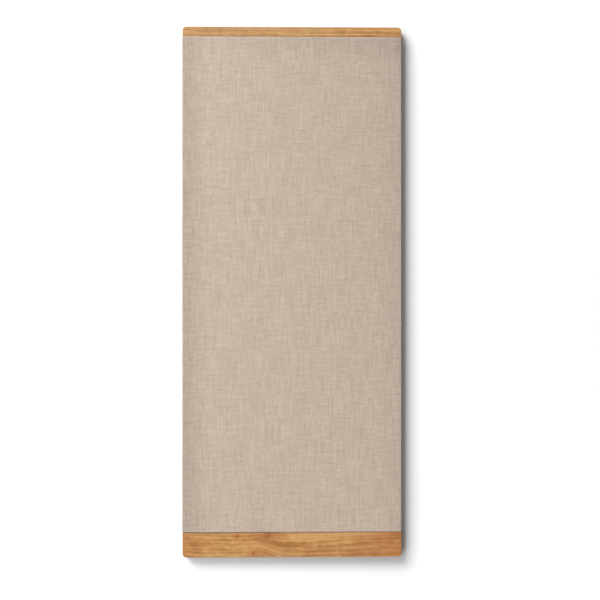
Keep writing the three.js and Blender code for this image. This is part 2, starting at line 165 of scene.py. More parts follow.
def axes_of(place):
    """The x, y and z of a place."""
    split = node(place.id_data, "ShaderNodeSeparateXYZ", {"Vector": place})
    return [Field(axis) for axis in split.outputs]


def object_axes(tree):
    """The x, y and z of a point on the piece."""
    return axes_of(node(tree, "ShaderNodeTexCoord").outputs["Object"])


def per_metre(axes, *counts):
    """A place for so many blotches to a metre: one count for all three axes, or one for each."""
    counts = counts * 3 if len(counts) == 1 else counts
    return at(axes[0].tree, *[axis * count for axis, count in zip(axes, counts)])


def distance(beside, behind):
    """How far a point lies from an axis."""
    return (beside * beside + behind * behind).work("SQRT")


def new_finish(name):
    """An empty finish, and the tree that its pattern is built in."""
    made = bpy.data.materials.new(name)
    made.use_nodes = True
    return made, made.node_tree


def lay_on(tree, colour, roughness, relief, depth, **plain):
    """Gives the surface its colour, roughness and relief, and plain values for its other settings."""
    shader = tree.nodes["Principled BSDF"]
    bump = node(tree, "ShaderNodeBump", {"Height": relief, "Strength": 1.0, "Distance": depth})
    plug(shader.inputs["Base Color"], colour)
    plug(shader.inputs["Roughness"], roughness)
    plug(shader.inputs["Normal"], bump.outputs["Normal"])
    for name, value in plain.items():
        shader.inputs[name.replace("_", " ")].default_value = value


def dress(names, finish):
    """Puts a finish on solids that keep their shape."""
    for name in names:
        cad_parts[name].material_slots[0].material = finish


def pine(name, lengthwise):
    """Planed pine whose grain runs along one axis: 0 for a crossbar and 2 for a stile."""
    finish, tree = new_finish(name)
    axes = object_axes(tree)
    grain = (axes[lengthwise], axes[2 - lengthwise], axes[1])
    wander = blotches(per_metre(grain, *PINE_WANDERS)) * PINE_WANDER
    beside = grain[1] - PINE_HEART[0] + wander
    ring = (distance(beside, grain[2] - PINE_HEART[1]) / PINE_RING).work("FRACT")
    late = ease(ring, 0.3, 0.93) * ease(ring, 1.0, 0.94)
    fibre = blotches(per_metre(grain, *PINE_FIBRES))
    shade = blotches(per_metre(grain, *PINE_SHADES))
    colour = toned(mixed(late * 0.75, PINE_PALE, PINE_LATE), fibre * 0.35 + shade * 0.25 + 1.0)
    lay_on(tree, colour, late * -0.12 + 0.68, fibre - late * 0.5, PINE_RELIEF)
    return finish


dress(STILES, pine("pine_upright", 2))
dress(CROSSBARS, pine("pine_crosswise", 0))


# Pin board: soft fibre board pressed from wood pulp, glued to the front of the frame to take the pins.
# Its front edges are rounded so that the linen bends over them without a crease.
FIBRE_BROWN = (0.42, 0.28, 0.15)
FIBRE_DARK = (0.27, 0.16, 0.075)
FIBRE_CLUMP = 1.6 * MM
FIBRE_RELIEF = 0.35 * MM


def soft_fibre():
    """Loosely pressed wood pulp, in clumps."""
    finish, tree = new_finish("soft_fibre")
    clumps = blotches(per_metre(object_axes(tree), 1 / FIBRE_CLUMP), 4.0, 0.6)
    colour = mixed(ease(clumps, -0.2, 0.25), FIBRE_BROWN, FIBRE_DARK)
    lay_on(tree, colour, clumps * 0.1 + 0.95, clumps, FIBRE_RELIEF)
    return finish


dress(["pin_board"], soft_fibre())


# Linen: one length of natural, undyed linen in plain weave, drawn over the pin board and the frame. Its
# raw flaps lie on the back of the frame and fold over in a mitre at the corners. Its face carries painted
# light and shade: lighter to the left and darker to the right, most at the top, painted shade along the
# side edges and the top, a painted highlight on the top fold and painted shade on the bottom fold.
LINEN_THICKNESS = 0.45 * MM
LINEN_BEND = 1.7 * MM
LINEN_FLAP = 22 * MM
LINEN_MITRE_LAP = 2.5 * MM
LINEN_MITRE_LIFT = 0.43 * MM
LINEN_MITRE_REACH = 9 * MM
LINEN_EDGE_WAVE = 1.1 * MM
LINEN_EDGE_WAVELENGTH = 24 * MM
LINEN_STEP = 11 * MM
LINEN_MITRE_STEPS = (0.0, 1.2 * MM, 2.6 * MM, 4.5 * MM, 7 * MM)
BEND_STEPS = 6
SIDE_STEPS = 5
FLAP_STEPS = 7
LINEN_PALE = (0.650, 0.537, 0.440)
LINEN_BROWN = (0.541, 0.428, 0.337)
# The colour of the painted shade in the hollows between the yarns.
LINEN_WEAVE_SHADE = (0.30, 0.225, 0.165)
WARP_PITCH = 0.78 * MM
WEFT_PITCH = 0.86 * MM
YARN_WANDER = 1.3 * MM
YARN_WANDERS = (14, 130)
YARN_ROUND = 0.6
YARN_RISE = 0.4
YARN_TONES = 45
YARN_TONE_STEP = 5.3
WEFT_TONE = 0.85
Slub = namedtuple("Slub", "wide high weight layer detail")
SLUBS = (
    Slub(2.2 * MM, 42 * MM, 0.9, 2.0, 1.0),
    Slub(36 * MM, 2.2 * MM, 0.65, 9.0, 1.0),
    Slub(6.5 * MM, 6.5 * MM, 0.75, 8.0, 2.0),
    Slub(6 * MM, 60 * MM, 0.55, 5.0, 2.0),
    Slub(45 * MM, 6 * MM, 0.45, 6.0, 2.0),
)
LINEN_PATCHES = 22
# Painted light and shade on the cloth's face: the folds' band, the band of painted shade along the edges,
# how far round it reaches, and the tones of the painted highlight, shade and slope of light.
LINEN_FOLD = (-0.4 * MM, 0.5 * MM, 2.4 * MM, 3.4 * MM)
LINEN_EDGE_SHADE_BAND = 52 * MM
LINEN_SHADE_REACH = (25 * MM, 28 * MM)
FOLD_HIGHLIGHT_AND_SHADE = (-0.1, 0.3)
SIDE_EDGE_SHADE = (-0.115, 0.25)
TOP_EDGE_SHADE = (-0.065, -0.25)
PAINTED_LIGHT_SLOPE = (-0.1, -0.38)
WEAVE_RELIEF = 0.16 * MM

cover_low, cover_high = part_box("linen_cover")
linen_front = cover_low.y
linen_back = cover_high.y - LINEN_THICKNESS
linen_middle = (cover_low + cover_high) / 2
flat_side = (cover_high.x - cover_low.x) / 2 - LINEN_BEND
flat_top = (cover_high.z - cover_low.z) / 2 - LINEN_BEND
Turn = namedtuple("Turn", "reach depth length")


def linen_turns():
    """The cloth's path from the edge of the flat front, over the side and onto the back.

    Each point has its reach beyond the flat front, its depth and the length of cloth up to it.
    """
    quarter = LINEN_BEND * math.pi / 2
    side = linen_back - linen_front - 2 * LINEN_BEND
    turns = []
    for i in range(BEND_STEPS):
        angle = math.pi / 2 * i / BEND_STEPS
        depth = linen_front + LINEN_BEND * (1 - math.cos(angle))
        turns.append(Turn(LINEN_BEND * math.sin(angle), depth, LINEN_BEND * angle))
    for i in range(SIDE_STEPS):
        run = side * i / SIDE_STEPS
        turns.append(Turn(LINEN_BEND, linen_front + LINEN_BEND + run, quarter + run))
    for i in range(BEND_STEPS):
        angle = math.pi / 2 * i / BEND_STEPS
        depth = linen_back - LINEN_BEND * (1 - math.sin(angle))
        turns.append(Turn(LINEN_BEND * math.cos(angle), depth, quarter + side + LINEN_BEND * angle))
    for i in range(FLAP_STEPS + 1):
        run = (LINEN_FLAP - LINEN_BEND) * i / FLAP_STEPS
        turns.append(Turn(-run, linen_back, 2 * quarter + side + run))
    return turns


def spaced(half):
    """Places from one end of a side to the other, with closer ones near both ends for the mitres."""
    inner = half - LINEN_MITRE_STEPS[-1]
    count = round(2 * inner / LINEN_STEP)
    ends = [half - gap for gap in LINEN_MITRE_STEPS]
    return [-end for end in ends] + [inner * (2 * i / count - 1) for i in range(1, count)] + ends[::-1]


def flap_point(turn, place, half, folded):
    """A flap's place along its side, its edge's wave and its lift where it is folded at the mitre."""
    run = max(-turn.reach, 0.0)
    end = half - run
    along = place * end / half
    near = max(0.0, 1 - (end - abs(along)) / LINEN_MITRE_REACH) if folded else 0.0
    depth = min(1.0, run / LINEN_MITRE_REACH)
    along += math.copysign(near * depth * LINEN_MITRE_LAP, along)
    wave = smooth_noise(Vector((along / LINEN_EDGE_WAVELENGTH, half, 2.0))) * LINEN_EDGE_WAVE
    return along, wave * run / LINEN_FLAP, math.sqrt(near) * depth * LINEN_MITRE_LIFT


def linen_mesh():
    """The cloth's outer face, with a map of where each point lay on the flat cloth."""
    mesh = bmesh.new()
    flat_map = mesh.loops.layers.uv.new("cloth")
    turns = linen_turns()
    across = spaced(flat_side)
    up = spaced(flat_top)

    def corner(x, depth, z):
        return mesh.verts.new((linen_middle.x + x, depth, linen_middle.z + z))

    def patch(rows):
        """Faces between rows of points, each a vertex with its place on the flat cloth."""
        for lower, upper in zip(rows, rows[1:]):
            for i in range(len(lower) - 1):
                ring = [lower[i], lower[i + 1], upper[i + 1], upper[i]]
                face = mesh.faces.new([vertex for vertex, _ in ring])
                face.smooth = True
                for loop, (_, flat) in zip(face.loops, ring):
                    loop[flat_map].uv = flat

    patch([[(corner(x, linen_front, z), (x, z)) for x in across] for z in up])
    for sign in (-1, 1):
        end_rows = []
        side_rows = []
        for turn in turns:
            end_row = []
            for place in across:
                along, wave, lift = flap_point(turn, place, flat_side, True)
                point = corner(along, turn.depth + lift, sign * (flat_top + turn.reach + wave))
                end_row.append((point, (along, sign * (flat_top + turn.length))))
            end_rows.append(end_row)
            side_row = []
            for place in up:
                along, wave, lift = flap_point(turn, place, flat_top, False)
                point = corner(sign * (flat_side + turn.reach + wave), turn.depth + lift, along)
                side_row.append((point, (sign * (flat_side + turn.length), along)))
            side_rows.append(side_row)
        patch(end_rows)
        patch(side_rows)
        for other in (-1, 1):
            rows = []
            for turn in turns[:2 * BEND_STEPS + SIDE_STEPS + 1]:
                row = []
                for i in range(BEND_STEPS + 1):
                    angle = math.pi / 2 * i / BEND_STEPS
                    x = sign * (flat_side + turn.reach * math.cos(angle))
                    z = other * (flat_top + turn.reach * math.sin(angle))
                    flat_x = sign * (flat_side + turn.length * math.cos(angle))
                    flat_z = other * (flat_top + turn.length * math.sin(angle))
                    row.append((corner(x, turn.depth, z), (flat_x, flat_z)))
                rows.append(row)
            patch(rows)
    bmesh.ops.remove_doubles(mesh, verts=mesh.verts, dist=0.01 * MM)
    bmesh.ops.dissolve_degenerate(mesh, edges=mesh.edges, dist=0.001 * MM)
    bmesh.ops.recalc_face_normals(mesh, faces=mesh.faces)
    made = bpy.data.meshes.new("linen")
    mesh.to_mesh(made)
    mesh.free()
    return made


def linen_painted_light(u, v):
    """Painted light and shade on the cloth's face: a painted highlight on the top fold, painted shade on
    the bottom fold and along the side edges and the top, and a painted slope of light across the face.

    A tone has its value at the middle of the board and its change towards the right or the top.
    """
    past_end = v.work("ABSOLUTE") - flat_top
    past_side = u.work("ABSOLUTE") - flat_side
    starts, full, fades, ends = LINEN_FOLD
    # A painted highlight on the top fold and painted shade on the bottom fold.
    fold = ease(past_end, starts, full) * ease(past_end, ends, fades)
    fold = fold * (v.work("SIGN") * FOLD_HIGHLIGHT_AND_SHADE[1] + FOLD_HIGHLIGHT_AND_SHADE[0])
    # Painted shade along the side edges, deepest on the left, and along the top, deepest on the right.
    sides = ease(past_side, -LINEN_EDGE_SHADE_BAND, 0.0) * (u * SIDE_EDGE_SHADE[1] + SIDE_EDGE_SHADE[0])
    top = ease(v, flat_top - LINEN_EDGE_SHADE_BAND, flat_top) * (u * TOP_EDGE_SHADE[1] + TOP_EDGE_SHADE[0])
    # The painted edge shade covers the front and the sides and ends before the flaps at the back.
    on_front = ease(past_side.work("MAXIMUM", past_end), LINEN_SHADE_REACH[1], LINEN_SHADE_REACH[0])
    # A painted slope of light: lighter towards the left and darker towards the right, most at the top.
    light_slope = u * (v * PAINTED_LIGHT_SLOPE[1] + PAINTED_LIGHT_SLOPE[0])
    return fold + (sides + top) * on_front + light_slope


def linen():
    """Plain weave: warp threads up the board and weft across it, uneven as hand-spun flax is."""
    finish, tree = new_finish("natural_linen")
    u, v, _ = axes_of(node(tree, "ShaderNodeUVMap", uv_map="cloth").outputs["UV"])

    def layer(number, across, up, detail=2.0):
        """Blotches on the flat cloth, each kind in a layer of its own."""
        return blotches(at(tree, across, up, number), detail)

    along, across = YARN_WANDERS
    warps = (u + layer(0.0, u * across, v * along) * YARN_WANDER) / WARP_PITCH
    wefts = (v + layer(4.0, u * along, v * across) * YARN_WANDER) / WEFT_PITCH
    warp = warps.work("ROUND")
    weft = wefts.work("ROUND")
    warp_rise = ((warp + wefts) * math.pi).work("COSINE") * YARN_RISE
    weft_rise = ((weft + warps) * math.pi).work("COSINE") * -YARN_RISE
    warp_height = ((warps - warp) * math.pi).work("COSINE") * YARN_ROUND + warp_rise
    weft_height = ((wefts - weft) * math.pi).work("COSINE") * YARN_ROUND + weft_rise
    height = warp_height.work("MAXIMUM", weft_height)
    warp_shows = ease(warp_height - weft_height, -0.15, 0.15)
    weft_shows = warp_shows * -1.0 + 1.0
    warp_tone = layer(1.0, warp * YARN_TONE_STEP, v * YARN_TONES, 1.0)
    weft_tone = layer(7.0, u * YARN_TONES, weft * YARN_TONE_STEP, 1.0) * WEFT_TONE
    yarn_tone = warp_tone * warp_shows + weft_tone * weft_shows
    slubs = sum(layer(slub.layer, u / slub.wide, v / slub.high, slub.detail) * slub.weight
                for slub in SLUBS)
    patches = layer(3.0, u * LINEN_PATCHES, v * LINEN_PATCHES, 3.0)
    brown = ease(yarn_tone + slubs * 0.56 + patches * 0.2, -0.45, 0.45)
    # The tone takes in the painted light and shade of the cloth's face.
    tone = yarn_tone * 0.22 + slubs * -0.225 + linen_painted_light(u, v) + 1.016
    yarn = toned(mixed(brown, LINEN_PALE, LINEN_BROWN), tone)
    # Where the weave is low, between the yarns, the colour turns darker: painted shade in the hollows of
    # the weave.
    colour = mixed(ease(height, 0.42, 0.02) * 0.6, yarn, LINEN_WEAVE_SHADE)
    lay_on(tree, colour, yarn_tone * 0.1 + 0.92, height + slubs * 0.8, WEAVE_RELIEF,
           Sheen_Weight=0.12, Sheen_Roughness=0.6, Specular_IOR_Level=0.2)
    return finish


def put_on(name, mesh, finish, slot, *nodes):
    """A finished piece, in the place of the solids that it stands for."""
    piece = bpy.data.objects.new(name, mesh)
    bpy.context.scene.collection.objects.link(piece)
    if not mesh.materials:
        mesh.materials.append(finish)
    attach(piece, "root")
    if nodes:
        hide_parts(*nodes)
    return piece


linen_cloth = put_on("linen_cloth", linen_mesh(), linen(), "linen", "linen_cover")
thickness = linen_cloth.modifiers.new("thickness", "SOLIDIFY")
thickness.thickness = LINEN_THICKNESS
thickness.offset = -1.0


# Staples: bent zinc wire, shot through the linen's flaps into the pine all round the back.
# They stand a hand's width apart or less, each a little askew.
STAPLE_CROWN = 10 * MM
STAPLE_LEG = 6 * MM
STAPLE_WIRE = 0.55 * MM
STAPLE_PITCH = 46 * MM
STAPLE_FROM_EDGE = 11.5 * MM
STAPLE_ASKEW = math.radians(9)
STAPLE_STAND = 0.12 * MM
ZINC = (0.33, 0.34, 0.36)
ZINC_DULL = (0.19, 0.20, 0.215)
ZINC_PATCHES = 180
ZINC_CRYSTAL = 1.3 * MM
ZINC_RELIEF = 0.01 * MM


def zinc():
    """Bright zinc plating, dulled in patches."""
    finish, tree = new_finish("zinc_plating")
    axes = object_axes(tree)
    patches = blotches(per_metre(axes, ZINC_PATCHES), 3.0)
    crystals = blotches(per_metre(axes, 1 / ZINC_CRYSTAL), 4.0, 0.65)
    colour = mixed(ease(patches + crystals * 0.5, -0.2, 0.3), ZINC, ZINC_DULL)
    lay_on(tree, colour, patches * 0.25 + crystals * 0.12 + 0.42, crystals, ZINC_RELIEF, Metallic=1.0)
    return finish


def new_tree(name, *sizes):
    """An empty tree for parts that repeat, with a named input for each size and one for the seed."""
    tree = bpy.data.node_groups.new(name, "GeometryNodeTree")
    tree.interface.new_socket("Places", in_out="INPUT", socket_type="NodeSocketGeometry")
    for size in sizes:
        tree.interface.new_socket(size, in_out="INPUT", socket_type="NodeSocketFloat")
    tree.interface.new_socket("Seed", in_out="INPUT", socket_type="NodeSocketInt")
    tree.interface.new_socket("Parts", in_out="OUTPUT", socket_type="NodeSocketGeometry")
    return tree, node(tree, "NodeGroupInput").outputs


def chance(tree, given, low, high, draw):
    """A random number for each place, another one for each draw."""
    seed = {"Seed": Field(given["Seed"]) + draw}
    made = node(tree, "FunctionNodeRandomValue", seed, data_type="FLOAT")
    ends = [socket for socket in made.inputs if socket.type == "VALUE"]
    plug(ends[0], low)
    plug(ends[1], high)
    return Field(next(socket for socket in made.outputs if socket.type == "VALUE"))


def heading(tree):
    """The turn that each place asks for."""
    made = node(tree, "GeometryNodeInputNamedAttribute", {"Name": "heading"}, data_type="FLOAT")
    return Field(next(socket for socket in made.outputs if socket.type == "VALUE"))


def spread(tree, given, part, turn, size, finish):
    """Puts the part on every place and ends the tree with one plain mesh."""
    inputs = {"Points": given["Places"], "Instance": part, "Rotation": turn, "Scale": size}
    spots = node(tree, "GeometryNodeInstanceOnPoints", inputs)
    real = node(tree, "GeometryNodeRealizeInstances", {"Geometry": spots.outputs[0]})
    shown = node(tree, "GeometryNodeSetMaterial", {"Geometry": real.outputs[0], "Material": finish})
    node(tree, "NodeGroupOutput", {"Parts": shown.outputs[0]})


def grown(name, tree, places, **sizes):
    """What a tree makes on its places, as a plain mesh."""
    mesh = bpy.data.meshes.new(name + "_places")
    mesh.from_pydata([place for place, _ in places], [], [])
    turns = mesh.attributes.new("heading", "FLOAT", "POINT")
    turns.data.foreach_set("value", [turn for _, turn in places])
    carrier = bpy.data.objects.new(name + "_places", mesh)
    bpy.context.scene.collection.objects.link(carrier)
    growth = carrier.modifiers.new("growth", "NODES")
    growth.node_group = tree
    for item in tree.interface.items_tree:
        if item.in_out == "INPUT" and item.name in sizes:
            growth[item.identifier] = sizes[item.name]
    evaluated = carrier.evaluated_get(bpy.context.evaluated_depsgraph_get())
    made = bpy.data.meshes.new_from_object(evaluated)
    made.name = name
    bpy.data.objects.remove(carrier)
    return made


def staple_tree(finish):
    """A staple's crown lies along x and its legs go forward into the pine."""
    tree, given = new_tree("staples", "Crown", "Leg", "Wire", "Askew")
    point = Field(node(tree, "GeometryNodeInputIndex").outputs[0]) - 1.5
    along = point.work("SIGN") * Field(given["Crown"]) * 0.5
    ahead = point.work("ABSOLUTE").work("GREATER_THAN", 1.0) * Field(given["Leg"]) * -1.0
    wire = node(tree, "GeometryNodeCurvePrimitiveLine").outputs[0]
    wire = node(tree, "GeometryNodeResampleCurve", {"Curve": wire, "Count": 4}).outputs[0]
    bent = {"Geometry": wire, "Position": at(tree, along, ahead, 0.0)}
    wire = node(tree, "GeometryNodeSetPosition", bent).outputs[0]
    bend = {"Curve": wire, "Radius": Field(given["Wire"]) * 1.3, "Count": 3}
    wire = node(tree, "GeometryNodeFilletCurve", bend, mode="POLY").outputs[0]
    section = {"Resolution": 8, "Radius": Field(given["Wire"]) * 0.5}
    section = node(tree, "GeometryNodeCurvePrimitiveCircle", section).outputs[0]
    solid = {"Curve": wire, "Profile Curve": section, "Fill Caps": True}
    solid = node(tree, "GeometryNodeCurveToMesh", solid).outputs[0]
    askew = Field(given["Askew"])
    turn = heading(tree) + chance(tree, given, askew * -1.0, askew, 0)
    spread(tree, given, solid, at(tree, 0.0, turn, 0.0), (1.0, 1.0, 1.0), finish)
    return tree


def staple_places():
    """Even places along the middle of the four flaps."""
    places = []
    depth = linen_back + STAPLE_STAND
    side = flat_side + LINEN_BEND - STAPLE_FROM_EDGE
    top = flat_top + LINEN_BEND - STAPLE_FROM_EDGE
    for half, other, turn in ((side, top, 0.0), (top, side, math.pi / 2)):
        count = round(2 * (half - STAPLE_PITCH / 2) / STAPLE_PITCH)
        for i in range(count + 1):
            along = (half - STAPLE_PITCH / 2) * (2 * i / count - 1)
            for sign in (-1, 1):
                x, z = (along, sign * other) if turn == 0.0 else (sign * other, along)
                places.append(((linen_middle.x + x, depth, linen_middle.z + z), turn))
    return places


zinc_plating = zinc()
staples = grown("staples", staple_tree(zinc_plating), staple_places(), Crown=STAPLE_CROWN,
                Leg=STAPLE_LEG, Wire=STAPLE_WIRE, Askew=STAPLE_ASKEW, Seed=5)
put_on("staples", staples, zinc_plating, "zinc_steel")


# Loose threads: the linen's flaps were cut and not hemmed, so ends of flax hang out of their raw edges.
# Each is a slightly curled strand that lies on the back of the frame, and a few are long. A strand's
# thickness is given as a share of its length.
THREAD_SHORTEST = 1.2 * MM
THREAD_LONGEST = 7 * MM
THREAD_SPACING = 2.9 * MM
THREAD_THICKNESS = 0.055
THREAD_STRAY = 0.55
THREAD_PALE = (0.70, 0.58, 0.46)
THREAD_DARK = (0.56, 0.45, 0.35)
THREAD_TONES = 400
THREAD_RELIEF = 0.05 * MM


def flax():
    """A single yarn, pale and dark by turns."""
    finish, tree = new_finish("flax_thread")
    tone = blotches(per_metre(object_axes(tree), THREAD_TONES), 3.0)
    colour = mixed(ease(tone, -0.2, 0.2), THREAD_PALE, THREAD_DARK)
    lay_on(tree, colour, tone * 0.1 + 0.9, tone, THREAD_RELIEF)
    return finish


def thread_tree(finish):
    """A strand of length one along x, made as long as its place draws."""
    tree, given = new_tree("loose_threads", "Shortest", "Longest", "Thickness", "Stray")
    strand = {"Resolution": 4, "Start": (-0.35, 0.0, 0.0), "Middle": (0.5, 0.04, 0.2),
              "End": (1.0, 0.0, 0.0)}
    strand = node(tree, "GeometryNodeCurveQuadraticBezier", strand).outputs[0]
    section = {"Resolution": 4, "Radius": Field(given["Thickness"]) * 0.5}
    section = node(tree, "GeometryNodeCurvePrimitiveCircle", section).outputs[0]
    solid = {"Curve": strand, "Profile Curve": section, "Fill Caps": True}
    solid = node(tree, "GeometryNodeCurveToMesh", solid).outputs[0]
    stray = Field(given["Stray"])
    turn = heading(tree) + chance(tree, given, stray * -1.0, stray, 0)
    shortest = Field(given["Shortest"])
    luck = chance(tree, given, 0.0, 1.0, 1).work("POWER", 5.0)
    length = shortest + (Field(given["Longest"]) - shortest) * luck
    flip = chance(tree, given, -1.0, 1.0, 2).work("SIGN")
    size = at(tree, length, length, length * flip)
    spread(tree, given, solid, at(tree, 0.0, turn, 0.0), size, finish)
    return tree


def thread_places():
    """Places along the flaps' raw edges, each with the way into the middle of the back."""
    places = []
    depth = linen_back - 0.55 * LINEN_THICKNESS
    side = flat_side + LINEN_BEND - LINEN_FLAP
    top = flat_top + LINEN_BEND - LINEN_FLAP
    for i in range(round(2 * side / THREAD_SPACING)):
        along = -side + (i + 0.5) * THREAD_SPACING
        places.append(((linen_middle.x + along, depth, linen_middle.z + top), math.pi / 2))
        places.append(((linen_middle.x + along, depth, linen_middle.z - top), -math.pi / 2))
    for i in range(round(2 * top / THREAD_SPACING)):
        along = -top + (i + 0.5) * THREAD_SPACING
        places.append(((linen_middle.x + side, depth, linen_middle.z + along), math.pi))
        places.append(((linen_middle.x - side, depth, linen_middle.z + along), 0.0))
    return places


flax_thread = flax()
threads = grown("loose_threads", thread_tree(flax_thread), thread_places(), Shortest=THREAD_SHORTEST,
                Longest=THREAD_LONGEST, Thickness=THREAD_THICKNESS, Stray=THREAD_STRAY, Seed=11)
put_on("loose_threads", threads, flax_thread, "linen")


# Rails: solid oak, planed, rounded over and oiled, a slim one above the panel and a deeper one below.
# The deep rail was cut beside a branch: a knot stands at its top edge and the grain dips past it.
OAK_PALE = (0.66, 0.362, 0.130)
OAK_DARK = (0.36, 0.145, 0.034)
OAK_RED = (0.47, 0.185, 0.055)
OAK_RED_PALE = (0.55, 0.235, 0.075)
OAK_RED_DARK = (0.37, 0.128, 0.034)
OAK_KNOT = (0.20, 0.075, 0.022)
TOP_OAK_PALE = (0.65, 0.378, 0.162)
TOP_OAK_DARK = (0.42, 0.205, 0.070)
OAK_RING = 7.4 * MM
OAK_WANDER = 9 * MM
OAK_WANDERS = (5, 10, 10)
OAK_RIPPLE = 5 * MM
OAK_RIPPLES = (26, 55, 55)
OAK_RING_WANDER = 1.6
OAK_RING_WANDERS = (6, 40, 40)
OAK_FIGURES = (1 / (11 * MM), 60, 110)
OAK_BANDS = (8, 1 / (9 * MM), 1 / (9 * MM))
OAK_FIBRES = (25, 1250, 1250)
OAK_PORES = (1 / (9 * MM), 1 / (0.45 * MM), 1 / (0.45 * MM))
OAK_RELIEF = 0.05 * MM
OAK_HEART = (45 * MM, -110 * MM)
GRAIN_DIP = 16 * MM
GRAIN_DIP_FROM = -68 * MM
GRAIN_DIP_TO = -12 * MM
GRAIN_RISE_TO = 205 * MM
GRAIN_RISE = 0.4
TOP_WARM_END = (30 * MM, 190 * MM)
RED_RIGHT_END = (75 * MM, 200 * MM)
RED_LEFT_END = (-130 * MM, -210 * MM)
TOP_BANDED = 1.1
BOTTOM_BANDED = 1.6
SHARPEST_ROUND = math.radians(35)
KNOT_WOBBLES = 110
KNOT_REACH = (2.2, 2.0)
Knot = namedtuple("Knot", "across drop wide high push tone")
KNOTS = (
    Knot(-46 * MM, 4.5 * MM, 9 * MM, 7.5 * MM, 4 * MM, 0.42),
    Knot(-103.5 * MM, 6.5 * MM, 2.6 * MM, 2.0 * MM, 1.5 * MM, 0.9),
    Knot(-73 * MM, 39 * MM, 2.8 * MM, 2.2 * MM, 1.2 * MM, 0.7),
)
STREAK_FADES_IN = 16 * MM
STREAK_FADES_OUT = 24 * MM
Streak = namedtuple("Streak", "level start end width dark")
TOP_STREAKS = (
    Streak(5.5 * MM, 10 * MM, 150 * MM, 2.6 * MM, -0.35),
    Streak(13.5 * MM, 80 * MM, 235 * MM, 2.4 * MM, -0.3),
    Streak(9.5 * MM, 115 * MM, 235 * MM, 1.6 * MM, 0.3),
    Streak(9 * MM, -8 * MM, 84 * MM, 5 * MM, -0.2),
)
BOTTOM_STREAKS = (
    Streak(37.5 * MM, -60 * MM, 34 * MM, 1.5 * MM, 0.65),
    Streak(55.5 * MM, -12 * MM, 195 * MM, 6.5 * MM, -0.75),
    Streak(36 * MM, 30 * MM, 130 * MM, 5.0 * MM, -0.25),
    Streak(24 * MM, -76 * MM, -40 * MM, 3.2 * MM, -0.3),
    Streak(14 * MM, -72 * MM, -22 * MM, 4.0 * MM, 0.35),
    Streak(36 * MM, -178 * MM, -66 * MM, 3.5 * MM, -0.3),
    Streak(46 * MM, -215 * MM, -120 * MM, 2.5 * MM, 0.25),
    Streak(18 * MM, -186 * MM, -64 * MM, 6.0 * MM, -0.25),
    Streak(6 * MM, -175 * MM, -118 * MM, 2.6 * MM, -0.5),
)


def oak_streaks(x, flow, streaks):
    """How much darker the streaks make the wood, each along its own level of the grain."""
    darker = 0.0
    for streak in streaks:
        off = (flow - streak.level) / streak.width
        starts = ease(x, streak.start, streak.start + STREAK_FADES_IN)
        ends = ease(x, streak.end, streak.end - STREAK_FADES_OUT)
        darker = (off * off * -1.0).work("EXPONENT") * starts * ends * streak.dark + darker
    return darker


def round_knots(axes, flow, top, knots):
    """The grain pushed aside by the knots, the share of knot in the wood and the stain round it."""
    x, _, z = axes
    in_knot = x * 0.0
    stained = x * 0.0
    for knot in knots:
        aside = x - knot.across
        above = z - (top - knot.drop)
        far_aside = aside / (KNOT_REACH[0] * knot.wide)
        far_above = above / (KNOT_REACH[1] * knot.high)
        near = ((far_aside * far_aside + far_above * far_above) * -1.0).work("EXPONENT")
        flow = flow - above * near * (knot.push / knot.high)
        radius = distance(aside / knot.wide, above / knot.high)
        radius = radius + blotches(per_metre(axes, KNOT_WOBBLES)) * 0.6
        in_knot = in_knot.work("MAXIMUM", ease(radius, 1.35, 0.5) * knot.tone)
        stained = stained.work("MAXIMUM", (radius * radius * -0.15).work("EXPONENT"))
    return flow, in_knot, stained


